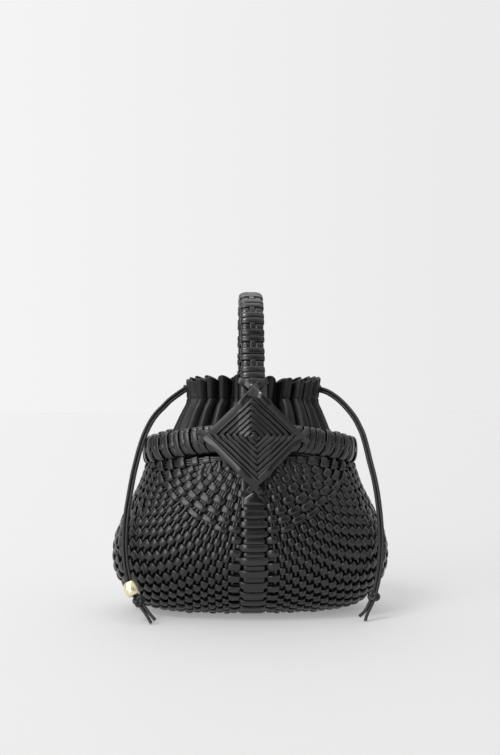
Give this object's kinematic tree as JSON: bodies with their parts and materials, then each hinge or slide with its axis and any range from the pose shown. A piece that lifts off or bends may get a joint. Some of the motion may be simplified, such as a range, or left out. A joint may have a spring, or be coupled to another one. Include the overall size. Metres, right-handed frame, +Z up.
{
  "type": "leather basket bag",
  "caption": "Black woven leather basket bag on two crossed hoops, with an arched handle, diamond lashings, a gathered drawstring pouch and drawcords.",
  "frame": {"origin": "under the middle of the basket, on the surface that it stands on", "axes": "+Z up, the front with the bead on its left faces -Y, +X to the right as seen from the front"},
  "size_m": [0.273, 0.1752, 0.3157],
  "materials": {
    "woven_leather": "semi-gloss",
    "smooth_leather": "satin",
    "cord_leather": "satin",
    "pale_gold": "brushed"
  },
  "bodies": {
    "root": {"basket_wall": "woven_leather", "rim_band": "woven_leather", "spine_band": "woven_leather", "handle": "woven_leather", "front_lashing": "woven_leather", "rear_lashing": "woven_leather", "pouch": "smooth_leather", "cord_left_a": "cord_leather", "cord_left_b": "cord_leather", "cord_right_a": "cord_leather", "cord_right_b": "cord_leather", "knot_left": "cord_leather", "knot_right": "cord_leather", "bead": "pale_gold"}
  },
  "joints": []
}
